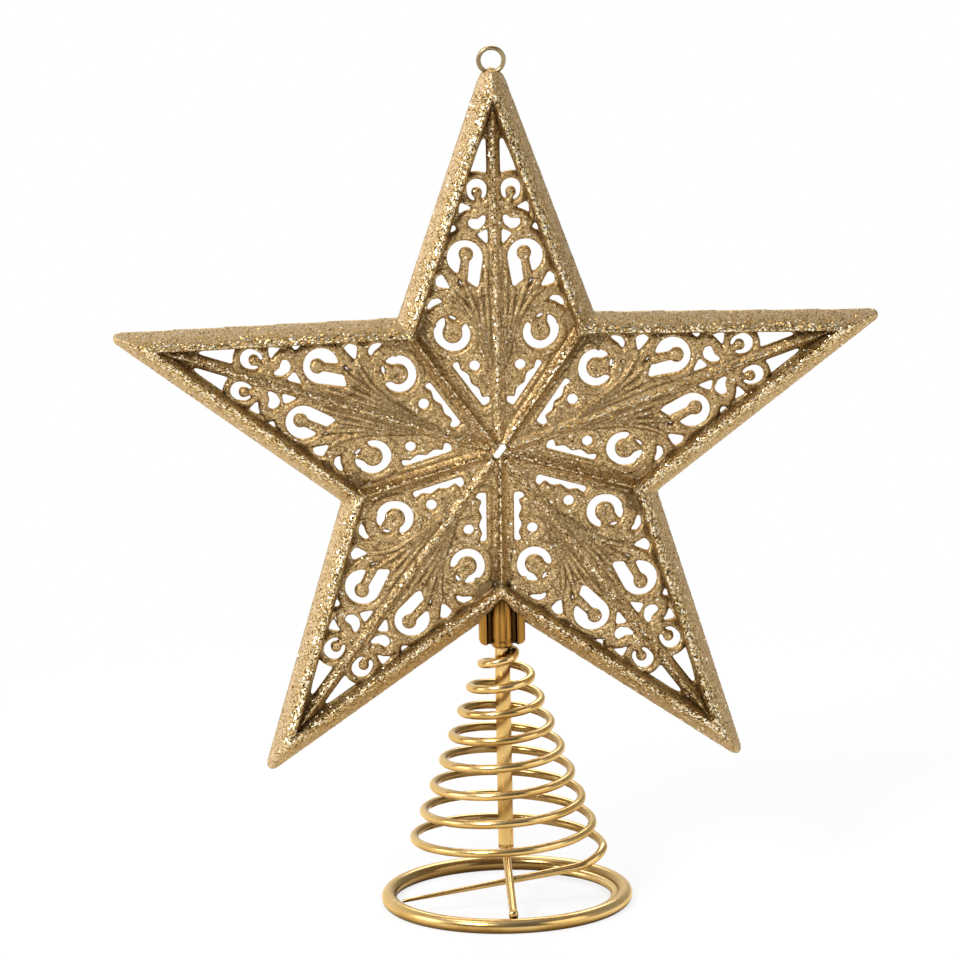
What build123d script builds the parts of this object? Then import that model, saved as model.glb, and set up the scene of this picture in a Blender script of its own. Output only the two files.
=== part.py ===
from build123d import *

import os
from math import ceil, cos, pi, radians, sin, tan

# A christmas tree topper: a pierced five-arm star on a coiled spring foot.
# Millimetres, +Z up, origin on the floor under the stem. The star stands upright and faces -Y.

# Star
star_height = 122.5  # floor to the star's centre
arm_count = 5
tip_reach = 108.0  # centre to the sharp corner of an arm
corner_reach = 43.4  # centre to an inner corner
tip_round = 1.9
top_tip_round = 4.0  # the top arm is blunter, to hold the hanging eye

# Rim of the star
rim_depth = 10.0  # front to back
rim_width = 6.0  # outer edge to the window
rim_bevel = 4.2  # outer slope, seen from the front
rim_crest = 0.6  # flat crest between the two slopes

# Pierced panels
panel_thickness = 1.8
panel_lap = 1.2  # held under the rim
dome_rise = 4.5  # the panels climb this far from the rim to the centre
panel_gap = 0.1  # clearance round a panel's edge

# Spokes from the inner corners to the hub
spoke_half_width = 2.0
spoke_proud = 1.6  # ridge above the panels at the centre
spoke_drop = 0.3  # ridge below the rim's crest at the inner corner
spoke_flank = 1.1  # ridge down to the spoke's edge
back_spoke_thickness = 1.4
hub_reach = 4.0
hub_proud = 2.3
hub_flank = 0.9
hub_slot_length = 3.6
hub_slot_width = 1.2
hub_slot_turn = 52.0

# Relief on the panels
midrib_half_width = 1.6
midrib_proud = 1.2
midrib_flank = 0.8

# Socket in the lower inner corner
gusset_wall = 1.2  # beside the clip
gusset_face = 1.5  # in front of, behind and above the clip
sleeve_wall = 0.75
sleeve_cap = 1.5
sleeve_drop = 10.3  # open end below the inner corner
sleeve_entry = 4.9  # closed end above the inner corner
sleeve_lip = 0.5
sleeve_gap = 0.15  # room round the sleeve in the frame
clip_leg = 2.65
clip_half_depth = 1.2
clip_bridge = 1.4
clip_round = 1.6
clip_lift = 0.6  # legs end above the sleeve's open end
clip_gap = 0.1  # room round the clip in the frame
running_gap = 0.05

# Hanging eye
eye_radius = 3.25  # centre line of the loop
eye_wire_radius = 0.6
eye_wire_sides = 6
eye_sink = 1.4  # loop let into the top tip
eye_shank_gap = 1.0  # shank ends above the top panel
eye_gap = 0.05

# Foot
ring_radius = 30.8  # centre line of the base ring
ring_wire_radius = 2.0
ring_wire_sides = 10
ring_flat = 0.2  # ground off the underside
lap_wire_radius = 1.3
lap_wire_sides = 6
lap_start = -50.0
lap_end = 55.0
lap_inset = 4.2
lap_start_inset = 0.8
stem_radius = 2.0
stem_lift = 0.2  # stem's lower end above the start of the spring
strut_radius = 1.05
strut_sides = 6
strut_entry = 8.0  # run of the strut inside the stem
strut_knee = 1.2  # knee below the stem's end
strut_bend = 1.4
strut_bead_radius = 1.35
strut_landing = -90.0
bore_gap = 0.05
seat_gap = 0.1

# Spring
wire_radius = 1.15
wire_sides = 6
wire_turn = 15.0  # how far the section's flats are turned
spring_turns = 8.0
path_step = 0.25  # turns from joint to joint of the path's arcs
spring_foot_radius = 25.3
spring_foot_height = 14.2
spring_head_radius = 5.0
spring_head_gap = 0.3  # top turn below the sleeve
spring_bow = 0.08  # how much wider the lower turns stand
spring_curl = 0.7  # turns that draw in to the stem
tail_end_radius = 0.45
tail_landing = 199.0
tail_lead = (-8.0, -8.0, -3.6)  # from the start of the spring to the straight tail

# Scrollwork of half an arm, drawn as across and along on a window that is pattern_tip long and
# pattern_corner from its middle to its inner corner
pattern_tip = 89.85
pattern_corner = 21.2
tip_slit = [(1.8, 81.8), (2.6, 81.8), (6.8, 72.0), (1.8, 72.0)]
tip_slit_floor = (4.5, 67.9, 5.2)
rim_gap = [(5.2, 63.4), (8.7, 65.1), (9.5, 60.7), (8.6, 62.1), (7.2, 62.9)]
shoulder_gap = [(10.7, 59.6), (11.8, 56.5), (9.6, 57.9)]
rib_gap = [(1.8, 58.2), (4.7, 56.7), (1.8, 53.6)]
corner_gap = [(11.4, 42.1), (13.8, 46.3), (15.4, 45.2), (15.4, 42.9)]
middle_gap = [
    (2.1, 61.3),
    (2.7, 61.9),
    (4.3, 60.7),
    (6.7, 60.6),
    (6.8, 59.0),
    (5.6, 57.9),
    (4.0, 57.9),
    (2.5, 59.3),
]
side_gap = [
    (13.3, 38.7),
    (14.8, 39.9),
    (16.6, 39.6),
    (17.7, 38.0),
    (17.9, 36.5),
    (16.6, 37.3),
    (15.2, 38.3),
]
lens_gap = [(9.5, 33.8), (10.9, 35.1), (12.6, 35.7), (12.3, 34.8), (11.0, 34.1)]
stalk_slit = [(8.1, 42.7), (9.2, 45.0), (9.8, 44.6), (8.6, 42.5)]
tip_scroll = {
    "ring": [(4.4, 67.7, 2.5), (4.4, 68.6, 2.6)],
    "ball": (4.4, 67.6, 1.4),
    "neck": [(4.4, 67.6, 0.7), (3.7, 64.4, 0.9)],
}
side_scroll = {
    "ring": [(11.2, 30.3, 4.4), (11.7, 30.8, 4.5)],
    "ball": (11.4, 30.7, 2.6),
    "neck": [(11.3, 32.1, 2.0), (10.2, 35.9, 3.0)],
}
loop_outside = [(7.8, 50.5, 4.6), (4.8, 43.0, 0.4)]
loop_stalk = [(7.6, 51.0, 1.0), (8.4, 45.4, 1.3)]
loop_ball = (7.5, 51.4, 1.9)
drop_hole = (5.9, 22.2, 1.4)
scroll_sides = 10
strip_start = 11.5  # along the spoke
strip_end = 25.0
strip_near = 1.6  # from the spoke's edge
strip_far = 3.6
strip_cusp = 2.7
strip_foot = 4.6  # its lower end is wider
strip_foot_rise = 1.3
strip_notches = 3

os.makedirs("parts", exist_ok=True)

# Shape of one arm, drawn upright: across is to the right and along is up the arm.
half_angle = pi / arm_count
edge_across = corner_reach * sin(half_angle)
edge_along = tip_reach - corner_reach * cos(half_angle)
edge_length = (edge_across**2 + edge_along**2) ** 0.5
edge_normal = (edge_along / edge_length, edge_across / edge_length)
edge_distance = tip_reach * edge_normal[1]
window_distance = edge_distance - rim_width
window_tip = tip_reach * window_distance / edge_distance
corner_spread = tip_reach * sin(half_angle) / (tip_reach * cos(half_angle) - corner_reach)
half_depth = rim_depth / 2
facet_slope = dome_rise / window_distance
slab_reach = 4 * half_depth + dome_rise  # longer than any cut needs

star_plane = Plane(origin=(0, 0, star_height), x_dir=(1, 0, 0), z_dir=(0, -1, 0))
star_axis = Axis((0, 0, star_height), (0, -1, 0))
arm_turns = [360 / arm_count * arm for arm in range(arm_count)]

corner_height = star_height - corner_reach
sleeve_radius = stem_radius + running_gap + sleeve_wall
sleeve_foot = corner_height - sleeve_drop
sleeve_top = corner_height + sleeve_entry
stem_foot = spring_foot_height + stem_lift
stem_top = sleeve_top - sleeve_cap
clip_half_width = sleeve_radius + running_gap + clip_leg
clip_foot = sleeve_foot + clip_lift
clip_top = sleeve_top + clip_bridge
gusset_half_width = clip_half_width + clip_gap + gusset_wall
gusset_depth = clip_half_depth + clip_gap + gusset_face
gusset_start = star_height - clip_top - clip_gap - gusset_face
ring_height = ring_wire_radius - ring_flat


def inset_share(inset):
    # Every edge of the star is as far from the centre, so an inset star is a smaller one.
    return (edge_distance - inset) / edge_distance


def star_outline(inset):
    points = []
    for arm in range(arm_count):
        for reach, angle in ((tip_reach, 2 * arm), (corner_reach, 2 * arm + 1)):
            size = reach * inset_share(inset)
            points.append((size * sin(angle * half_angle), size * cos(angle * half_angle)))
    return points


def along_spoke(distance, offset):
    # A point by its distance along the right-hand spoke and its offset towards the arm's middle.
    across = distance * sin(half_angle) - offset * cos(half_angle)
    along = distance * cos(half_angle) + offset * sin(half_angle)
    return (across, along)


def in_star(across, along, front=0.0):
    return Vector(across, -front, star_height + along)


def facet(front):
    # The sloping plane of the right half of the top arm, moved towards the front.
    normal = Vector(facet_slope * edge_normal[0], -1, facet_slope * edge_normal[1])
    return Plane(origin=in_star(0, 0, dome_rise + front), x_dir=(1, 0, 0), z_dir=normal)


def ridge_plane(start, end, side, flank):
    # A plane through the ridge from start to end that falls away by flank at side.
    low = side - Vector(0, -flank, 0)
    normal = (end - start).cross(low - start)
    if normal.Y > 0:
        normal = normal * -1
    return Plane(origin=start, z_dir=normal)


def spun(shape):
    # Copies of a half-arm shape round the star, with their mirror images.
    mirrored = shape.mirror(Plane.YZ)
    copies = []
    for turn in arm_turns:
        copies.append(shape.rotate(star_axis, turn))
        copies.append(mirrored.rotate(star_axis, turn))
    return copies


# Half of one spoke, on the right-hand side of the top arm
spoke_end = corner_reach * inset_share(rim_bevel + rim_crest)
spoke_points = [
    (0, 0),
    along_spoke(spoke_end, 0),
    along_spoke(spoke_end, spoke_half_width),
    (0, spoke_half_width / sin(half_angle)),
]
ridge_start = in_star(0, 0, dome_rise + panel_thickness / 2 + spoke_proud)
ridge_end = in_star(*along_spoke(spoke_end, 0), half_depth - spoke_drop)
ridge_side = ridge_start + in_star(*along_spoke(0, spoke_half_width)) - in_star(0, 0)

with BuildPart() as half_spoke:
    with BuildSketch(star_plane):
        Polygon(*spoke_points, align=None)
    extrude(amount=slab_reach, both=True)
    split(bisect_by=facet(panel_thickness / 2), keep=Keep.TOP)
    split(bisect_by=Plane(origin=in_star(0, 0, panel_thickness / 2), z_dir=(0, -1, 0)), keep=Keep.TOP)
    split(bisect_by=ridge_plane(ridge_start, ridge_end, ridge_side, spoke_flank), keep=Keep.BOTTOM)

back_spoke_end = corner_reach * inset_share(rim_width - panel_lap)
back_points = [
    (0, 0),
    along_spoke(back_spoke_end, 0),
    along_spoke(back_spoke_end, spoke_half_width),
    (0, spoke_half_width / sin(half_angle)),
]

with BuildPart() as half_back_spoke:
    with BuildSketch(star_plane):
        Polygon(*back_points, align=None)
    extrude(amount=slab_reach, both=True)
    split(bisect_by=facet(-panel_thickness / 2), keep=Keep.BOTTOM)
    split(bisect_by=facet(-panel_thickness / 2 - back_spoke_thickness), keep=Keep.TOP)

# Half of a hub wedge
hub_points = [(0, 0), (0, hub_reach), along_spoke(hub_reach, 0)]
hub_front = dome_rise + panel_thickness / 2 + hub_proud
hub_start = in_star(0, 0, hub_front)
hub_edge = in_star(0, hub_reach, hub_front - hub_flank)
hub_side = in_star(*along_spoke(hub_reach, 0), hub_front)

with BuildPart() as half_hub:
    with BuildSketch(star_plane):
        Polygon(*hub_points, align=None)
    extrude(amount=slab_reach, both=True)
    split(bisect_by=facet(panel_thickness / 2), keep=Keep.TOP)
    split(bisect_by=ridge_plane(hub_start, hub_edge, hub_side, hub_flank), keep=Keep.BOTTOM)

with BuildPart() as half_back_hub:
    with BuildSketch(star_plane):
        Polygon(*hub_points, align=None)
    extrude(amount=slab_reach, both=True)
    split(bisect_by=facet(-panel_thickness / 2), keep=Keep.BOTTOM)
    split(bisect_by=facet(-panel_thickness / 2 - back_spoke_thickness), keep=Keep.TOP)

# Half of a corner gusset, which runs back into the rim
gusset_root = corner_reach * inset_share(rim_bevel + rim_crest)
gusset_points = [
    along_spoke(gusset_start, 0),
    along_spoke(gusset_start, gusset_half_width),
    along_spoke(gusset_root + gusset_half_width / corner_spread, gusset_half_width),
    along_spoke(gusset_root, 0),
]


def cut_socket_and_eye():
    # The clip's slot, the sleeve's bore and the eye's seat, cut where the two halves meet.
    with Locations((0, 0, (sleeve_foot + clip_top + clip_gap) / 2)):
        Box(
            2 * (clip_half_width + clip_gap),
            2 * (clip_half_depth + clip_gap),
            clip_top + clip_gap - sleeve_foot,
            mode=Mode.SUBTRACT,
        )
    with Locations((0, 0, (sleeve_foot + sleeve_top + sleeve_gap) / 2)):
        Cylinder(sleeve_radius + sleeve_gap, sleeve_top + sleeve_gap - sleeve_foot, mode=Mode.SUBTRACT)
    with Locations(Location((0, 0, eye_height), (90, 0, 0))):
        Cylinder(
            eye_radius + eye_wire_radius + eye_gap,
            2 * (eye_wire_radius + eye_gap),
            mode=Mode.SUBTRACT,
        )
    with Locations((0, 0, eye_foot - eye_gap)):
        Cylinder(
            eye_wire_radius + eye_gap,
            eye_height - eye_foot,
            align=(Align.CENTER, Align.CENTER, Align.MIN),
            mode=Mode.SUBTRACT,
        )


# Top of the blunt tip, where the hanging eye is let in
tip_half_angle_sine = edge_normal[1]
tip_top = star_height + tip_reach - top_tip_round * (1 / tip_half_angle_sine - 1)
eye_height = tip_top - eye_sink + eye_radius + eye_wire_radius
eye_foot = star_height + tip_reach * inset_share(rim_width - panel_lap) + eye_shank_gap

with BuildSketch(star_plane) as rounded_star:
    Polygon(*star_outline(0), align=None)
    fillet(rounded_star.vertices().sort_by(Axis.Y)[-1], radius=top_tip_round)
    fillet(rounded_star.vertices().sort_by_distance((0, 0))[1 - arm_count :], radius=tip_round)


def star_section(inset, front):
    with BuildSketch(star_plane.offset(front)) as section:
        Polygon(*star_outline(inset), align=None)
    return section.sketch


def rim_half(side, seat):
    # One half of the rim: bevelled outside, stepped down to the windows, with a seat for the panels.
    crest_front = side * half_depth
    seat_front = side * seat
    loft([star_section(0, 0), star_section(rim_bevel, crest_front)], ruled=True)
    loft(
        [star_section(rim_width, seat_front), star_section(rim_bevel + rim_crest, crest_front)],
        ruled=True,
        mode=Mode.SUBTRACT,
    )
    extrude(star_section(rim_width - panel_lap - panel_gap, 0), amount=seat_front, mode=Mode.SUBTRACT)
    extrude(rounded_star.sketch, amount=crest_front, mode=Mode.INTERSECT)


front_seat = panel_thickness / 2
back_seat = panel_thickness / 2 + panel_lap * facet_slope + panel_gap

with BuildPart() as front_gusset:
    with BuildSketch(star_plane):
        Polygon(*gusset_points, align=None)
    extrude(amount=gusset_depth)

with BuildPart() as back_gusset:
    with BuildSketch(star_plane):
        Polygon(*gusset_points, align=None)
    extrude(amount=-gusset_depth)

with BuildPart() as frame_front:
    rim_half(1, front_seat)
    add(spun(front_gusset.part))
    add(spun(half_spoke.part))
    add(spun(half_hub.part))
    with BuildSketch(star_plane):
        SlotOverall(hub_slot_length, hub_slot_width, rotation=hub_slot_turn)
    extrude(amount=slab_reach, mode=Mode.SUBTRACT)
    cut_socket_and_eye()
frame_front.part.label = "frame_front"
export_step(frame_front.part, "parts/frame_front.step")

with BuildPart() as frame_back:
    rim_half(-1, back_seat)
    add(spun(back_gusset.part))
    add(spun(half_back_spoke.part))
    add(spun(half_back_hub.part))
    with BuildSketch(star_plane):
        SlotOverall(hub_slot_length, hub_slot_width, rotation=hub_slot_turn)
    extrude(amount=slab_reach, both=True, mode=Mode.SUBTRACT)
    cut_socket_and_eye()
frame_back.part.label = "frame_back"
export_step(frame_back.part, "parts/frame_back.step")

# Scrollwork of half an arm, stretched from its pattern to the real window and cut square to its facet
stretch_along = window_tip / pattern_tip
stretch_across = corner_reach * inset_share(rim_width) * sin(half_angle) / pattern_corner
stretch_round = min(stretch_along, stretch_across)


def spot(across, along):
    return (across * stretch_across, along * stretch_along)


def gap(corners):
    # A straight-sided opening.
    with BuildSketch() as opening:
        Polygon(*[spot(*corner) for corner in corners], align=None)
    return opening.sketch


def disc(across, along, radius):
    with BuildSketch() as shape:
        with Locations(spot(across, along)):
            RegularPolygon(radius * stretch_round, scroll_sides)
    return shape.sketch


def taper(start, end):
    # Two discs and the tangents between them.
    with BuildSketch() as shape:
        add(disc(*start))
        add(disc(*end))
        make_hull()
    return shape.sketch


def scroll(ring, ball, neck):
    # A round opening with a ball in it, held by a neck.
    with BuildSketch() as opening:
        add(taper(*ring))
        add(disc(*ball), mode=Mode.SUBTRACT)
        add(taper(*neck), mode=Mode.SUBTRACT)
    return opening.sketch


def notched_strip():
    # A strip beside the spoke, straight on the spoke's side and notched on the other.
    start = strip_start * stretch_round
    end = strip_end * stretch_round
    near = spoke_half_width + strip_near
    far = spoke_half_width + strip_far
    cusp = spoke_half_width + strip_cusp
    step = (end - start) / strip_notches
    corners = [along_spoke(start, far), along_spoke(start, near), along_spoke(end, near)]
    for count in range(strip_notches):
        high = end - count * step
        corners += [along_spoke(high, far), along_spoke(high - step / 2, cusp)]
    corners.append(along_spoke(start + strip_foot_rise * stretch_round, spoke_half_width + strip_foot))
    with BuildSketch() as shape:
        Polygon(*corners, align=None)
    return shape.sketch


with BuildSketch() as loop_opening:
    add(taper(*loop_outside))
    add(taper(*loop_stalk), mode=Mode.SUBTRACT)
    add(disc(*loop_ball), mode=Mode.SUBTRACT)

with BuildSketch() as tip_opening:
    add(gap(tip_slit))
    add(disc(*tip_slit_floor), mode=Mode.SUBTRACT)

small_gaps = [rim_gap, shoulder_gap, rib_gap, corner_gap, middle_gap, side_gap, lens_gap, stalk_slit]
with BuildSketch(facet(0)) as scrollwork:
    for corners in small_gaps:
        add(gap(corners))
    add(tip_opening.sketch)
    add(disc(*drop_hole))
    add(scroll(**tip_scroll))
    add(scroll(**side_scroll))
    add(loop_opening.sketch)
    add(notched_strip())

# Half of one panel, with its notch for the corner gusset
panel_share = inset_share(rim_width - panel_lap)
notch_start = gusset_start - panel_gap
notch_width = gusset_half_width + panel_gap
panel_points = [
    (0, hub_slot_length / 2 + panel_gap),
    along_spoke(hub_slot_length / 2 + panel_gap, panel_gap),
    along_spoke(notch_start, panel_gap),
    along_spoke(notch_start, notch_width),
    along_spoke(corner_reach * panel_share + notch_width / corner_spread, notch_width),
    (0, tip_reach * panel_share),
]

with BuildPart() as half_plate:
    with BuildSketch(star_plane):
        Polygon(*panel_points, align=None)
    extrude(amount=slab_reach, both=True)
    split(bisect_by=facet(panel_thickness / 2), keep=Keep.BOTTOM)
    split(bisect_by=facet(-panel_thickness / 2), keep=Keep.TOP)

# Raised midrib, which stands on the plate
midrib_start = hub_reach + panel_gap
midrib_end = window_tip - panel_gap
midrib_shoulder = midrib_end - midrib_half_width * edge_normal[0] / edge_normal[1]
midrib_points = [
    (0, midrib_start),
    (midrib_half_width, midrib_start + midrib_half_width / tan(half_angle)),
    (midrib_half_width, midrib_shoulder),
    (0, midrib_end),
]
midrib_front = panel_thickness / 2 + midrib_proud
crease_start = in_star(0, 0, dome_rise + midrib_front)
crease_end = in_star(0, window_tip, midrib_front)
crease_side = in_star(midrib_half_width, 0, dome_rise + midrib_front)

with BuildPart() as half_midrib:
    with BuildSketch(star_plane):
        Polygon(*midrib_points, align=None)
    extrude(amount=slab_reach, both=True)
    split(bisect_by=facet(0), keep=Keep.TOP)
    split(bisect_by=ridge_plane(crease_start, crease_end, crease_side, midrib_flank), keep=Keep.BOTTOM)

with BuildPart() as arm_panel:
    add(half_plate.part)
    add(half_midrib.part)
    extrude(scrollwork.sketch, amount=slab_reach, both=True, mode=Mode.SUBTRACT)
    mirror(about=Plane.YZ)

panel_names = ["panel_top", "panel_left", "panel_lower_left", "panel_lower_right", "panel_right"]
for panel_name, turn in zip(panel_names, arm_turns):
    with BuildPart() as panel:
        add(arm_panel.part.rotate(star_axis, turn))
    panel.part.label = panel_name
    export_step(panel.part, f"parts/{panel_name}.step")

# Hanging eye: a closed loop on a shank in the top tip
with BuildPart() as hanging_eye:
    with BuildSketch(Plane.YZ):
        with Locations((0, eye_height + eye_radius)):
            RegularPolygon(eye_wire_radius, eye_wire_sides)
    revolve(axis=Axis((0, 0, eye_height), (0, 1, 0)))
    with BuildSketch(Plane.XY.offset(eye_foot)):
        RegularPolygon(eye_wire_radius, eye_wire_sides)
    extrude(amount=eye_height - eye_radius - eye_foot)
hanging_eye.part.label = "hanging_eye"
export_step(hanging_eye.part, "parts/hanging_eye.step")

# Clip whose legs flank the sleeve and whose bridge rests on the sleeve's closed end
with BuildPart() as grip_clip:
    with BuildSketch(Plane.XZ.offset(-clip_half_depth)):
        with Locations((0, (clip_foot + clip_top) / 2)):
            Rectangle(2 * clip_half_width, clip_top - clip_foot)
    extrude(amount=2 * clip_half_depth)
    fillet(grip_clip.edges().filter_by(Axis.Y).group_by(Axis.Z)[0], radius=clip_round)
    with Locations((0, 0, clip_foot)):
        Cylinder(
            sleeve_radius + running_gap,
            sleeve_top - clip_foot,
            align=(Align.CENTER, Align.CENTER, Align.MIN),
            mode=Mode.SUBTRACT,
        )
grip_clip.part.label = "grip_clip"
export_step(grip_clip.part, "parts/grip_clip.step")

# Sleeve that slides on the stem
with BuildPart() as socket_sleeve:
    with Locations((0, 0, sleeve_foot)):
        Cylinder(sleeve_radius, sleeve_top - sleeve_foot, align=(Align.CENTER, Align.CENTER, Align.MIN))
        Cylinder(
            stem_radius + running_gap,
            stem_top - sleeve_foot,
            align=(Align.CENTER, Align.CENTER, Align.MIN),
            mode=Mode.SUBTRACT,
        )
    chamfer(socket_sleeve.faces().sort_by(Axis.Z)[0].outer_wire().edges(), length=sleeve_lip)
socket_sleeve.part.label = "socket_sleeve"
export_step(socket_sleeve.part, "parts/socket_sleeve.step")

# Stem with a blind bore for the strut
with BuildPart() as stem:
    with Locations((0, 0, stem_foot)):
        Cylinder(stem_radius, stem_top - stem_foot, align=(Align.CENTER, Align.CENTER, Align.MIN))
        Cylinder(
            strut_radius + bore_gap,
            strut_entry + bore_gap,
            align=(Align.CENTER, Align.CENTER, Align.MIN),
            mode=Mode.SUBTRACT,
        )
stem.part.label = "stem"
export_step(stem.part, "parts/stem.step")


def on_ring(angle, radius):
    # Where a wire of this radius lies against the inner upper shoulder of the base ring.
    shoulder = (ring_wire_radius + radius + seat_gap) * cos(pi / 4)
    reach = ring_radius - shoulder
    return Vector(reach * cos(radians(angle)), reach * sin(radians(angle)), ring_height + shoulder)


# Strut from the stem's lower end to the front of the base ring
strut_head = Vector(0, 0, stem_foot + strut_entry)
strut_foot = on_ring(strut_landing, strut_bead_radius)
with BuildPart() as foot_strut:
    with BuildLine() as strut_path:
        FilletPolyline(strut_head, (0, 0, stem_foot - strut_knee), strut_foot, radius=strut_bend)
    with BuildSketch(Plane(origin=strut_head, z_dir=(0, 0, -1))):
        RegularPolygon(strut_radius, strut_sides)
    sweep()
    with BuildSketch(Plane.XZ.offset(-strut_foot.Y)):
        with Locations((strut_foot.X, strut_foot.Z)):
            RegularPolygon(strut_bead_radius, strut_sides)
        split(bisect_by=Plane.YZ.offset(strut_foot.X), keep=Keep.TOP)
    revolve(axis=Axis(strut_foot, (0, 0, 1)))
foot_strut.part.label = "foot_strut"
export_step(foot_strut.part, "parts/foot_strut.step")

# Base ring, ground flat underneath, with the wire's lapped end inside it on the right
lap_from = Vector(ring_radius - lap_start_inset, 0, ring_height).rotate(Axis.Z, lap_start)
lap_to = Vector(ring_radius - lap_inset, 0, ring_height).rotate(Axis.Z, lap_end)
lap_heading = Vector(0, 1, 0).rotate(Axis.Z, lap_start)
with BuildPart() as base_ring:
    with BuildSketch(Plane.XZ):
        with Locations((ring_radius, ring_height)):
            RegularPolygon(ring_wire_radius, ring_wire_sides)
        split(bisect_by=Plane.XZ, keep=Keep.BOTTOM)
    revolve(axis=Axis.Z)
    with BuildLine():
        TangentArc(lap_from, lap_to, tangent=lap_heading)
    with BuildSketch(Plane(origin=lap_from, z_dir=lap_heading)):
        RegularPolygon(lap_wire_radius, lap_wire_sides)
    sweep()
base_ring.part.label = "base_ring"
export_step(base_ring.part, "parts/base_ring.step")

# Conical spring
spring_head = sleeve_foot - spring_head_gap - wire_radius
spring_rise = spring_head - spring_foot_height
hug_radius = stem_radius + wire_radius + seat_gap


def spring_point(turn):
    share = turn / spring_turns
    climb = share + spring_bow * share * (1 - share)
    cone = spring_foot_radius + (spring_head_radius - spring_foot_radius) * climb
    drawn_in = max(0.0, (turn - spring_turns + spring_curl) / spring_curl)
    radius = cone + (hug_radius - cone) * drawn_in
    angle = 2 * pi * turn
    return Vector(radius * cos(angle), radius * sin(angle), spring_foot_height + spring_rise * climb)


def spring_heading(turn):
    step = 0.01
    low = max(0.0, turn - step)
    high = min(spring_turns, turn + step)
    return (spring_point(high) - spring_point(low)).normalized()


def biarc(start, start_heading, end, end_heading):
    # Two arcs that leave start and reach end along the given headings.
    chord = end - start
    bend = 2 * (1 - start_heading.dot(end_heading))
    both = chord.dot(start_heading + end_heading)
    arm = (-both + (both**2 + bend * chord.dot(chord)) ** 0.5) / bend
    middle = (start + end + (start_heading - end_heading) * arm) / 2
    first = TangentArc(start, middle, tangent=start_heading)
    second = TangentArc(middle, end, tangent=first % 1)
    return [first, second]


tail_foot = on_ring(tail_landing, tail_end_radius)
tail_head = spring_point(0) + Vector(*tail_lead)
tail_heading = (tail_head - tail_foot).normalized()
path_steps = ceil(spring_turns / path_step)
spring_end = spring_point(spring_turns)
spring_end_heading = spring_heading(spring_turns)

with BuildPart() as cone_spring:
    with BuildLine() as spring_path:
        biarc(tail_head, tail_heading, spring_point(0), spring_heading(0))
        for count in range(path_steps):
            low = count * path_step
            high = min(low + path_step, spring_turns)
            biarc(spring_point(low), spring_heading(low), spring_point(high), spring_heading(high))
        Line(spring_end, spring_end + spring_end_heading * 2 * wire_radius)
    with BuildSketch(Plane(origin=tail_head, z_dir=tail_heading)):
        RegularPolygon(wire_radius, wire_sides, rotation=wire_turn)
    sweep()
    with BuildSketch(Plane(origin=tail_foot, z_dir=tail_heading)):
        RegularPolygon(tail_end_radius, wire_sides, rotation=wire_turn)
    with BuildSketch(Plane(origin=tail_head, z_dir=tail_heading)):
        RegularPolygon(wire_radius, wire_sides, rotation=wire_turn)
    loft()
cone_spring.part.label = "cone_spring"
export_step(cone_spring.part, "parts/cone_spring.step")

# Least gap of the spring to itself, measured on points along its centre line
samples_per_turn = 48
sample_count = round(spring_turns * samples_per_turn) + 1
coil_points = [spring_point(count / samples_per_turn) for count in range(sample_count)]
apart = samples_per_turn // 2
least = min(
    (coil_points[first] - coil_points[second]).length
    for first in range(len(coil_points))
    for second in range(first + apart, min(first + 2 * samples_per_turn, len(coil_points)))
)
print("spring, least gap to itself", round(least - 2 * wire_radius, 2))
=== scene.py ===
import math

import bmesh
import bpy
import numpy as np
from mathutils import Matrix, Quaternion, Vector


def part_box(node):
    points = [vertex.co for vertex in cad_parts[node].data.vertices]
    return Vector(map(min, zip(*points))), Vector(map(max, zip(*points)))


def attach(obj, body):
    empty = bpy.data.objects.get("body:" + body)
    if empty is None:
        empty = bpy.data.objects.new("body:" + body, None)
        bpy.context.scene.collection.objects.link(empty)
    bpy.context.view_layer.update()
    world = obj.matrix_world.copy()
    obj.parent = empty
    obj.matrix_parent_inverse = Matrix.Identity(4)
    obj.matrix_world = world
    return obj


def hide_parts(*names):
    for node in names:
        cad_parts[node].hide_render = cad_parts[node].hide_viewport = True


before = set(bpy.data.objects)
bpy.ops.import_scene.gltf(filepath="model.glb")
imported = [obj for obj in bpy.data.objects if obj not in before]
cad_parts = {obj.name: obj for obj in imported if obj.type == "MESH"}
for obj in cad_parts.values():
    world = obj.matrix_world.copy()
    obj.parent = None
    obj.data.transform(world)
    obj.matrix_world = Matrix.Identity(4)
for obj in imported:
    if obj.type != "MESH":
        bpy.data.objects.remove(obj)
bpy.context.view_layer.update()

mm = 0.001  # sizes below are millimetres, the scene is metres

# The star's own shape, as across and along an upright arm, seen from the front
star = {
    "height": 122.5,  # floor to the centre
    "arms": 5,
    "tipReach": 108.0,
    "cornerReach": 43.4,
    "rimWidth": 6.0,
    "domeRise": 4.5,
    "spokeHalfWidth": 2.0,
}
halfAngle = math.pi / star["arms"]
edgeRun = (
    star["cornerReach"] * math.sin(halfAngle),
    star["tipReach"] - star["cornerReach"] * math.cos(halfAngle),
)
edgeNormal = (edgeRun[1] / math.hypot(*edgeRun), edgeRun[0] / math.hypot(*edgeRun))
edgeDistance = star["tipReach"] * edgeNormal[1]  # centre to every outer edge
domeSlope = star["domeRise"] / (edgeDistance - star["rimWidth"])


def insetReach(reach, inset):
    return reach * (edgeDistance - inset) / edgeDistance


def alongSpoke(distance, offset):
    # a point by its distance along the right-hand spoke and its offset towards the arm's middle
    return (
        distance * math.sin(halfAngle) - offset * math.cos(halfAngle),
        distance * math.cos(halfAngle) + offset * math.sin(halfAngle),
    )


def foldedArm(across, along):
    # reach from the centre, and angle from the nearest arm's middle line
    around = np.arctan2(across, along)
    arm = np.round(around / (2 * halfAngle))
    return np.hypot(across, along), np.abs(around - arm * 2 * halfAngle)


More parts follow.
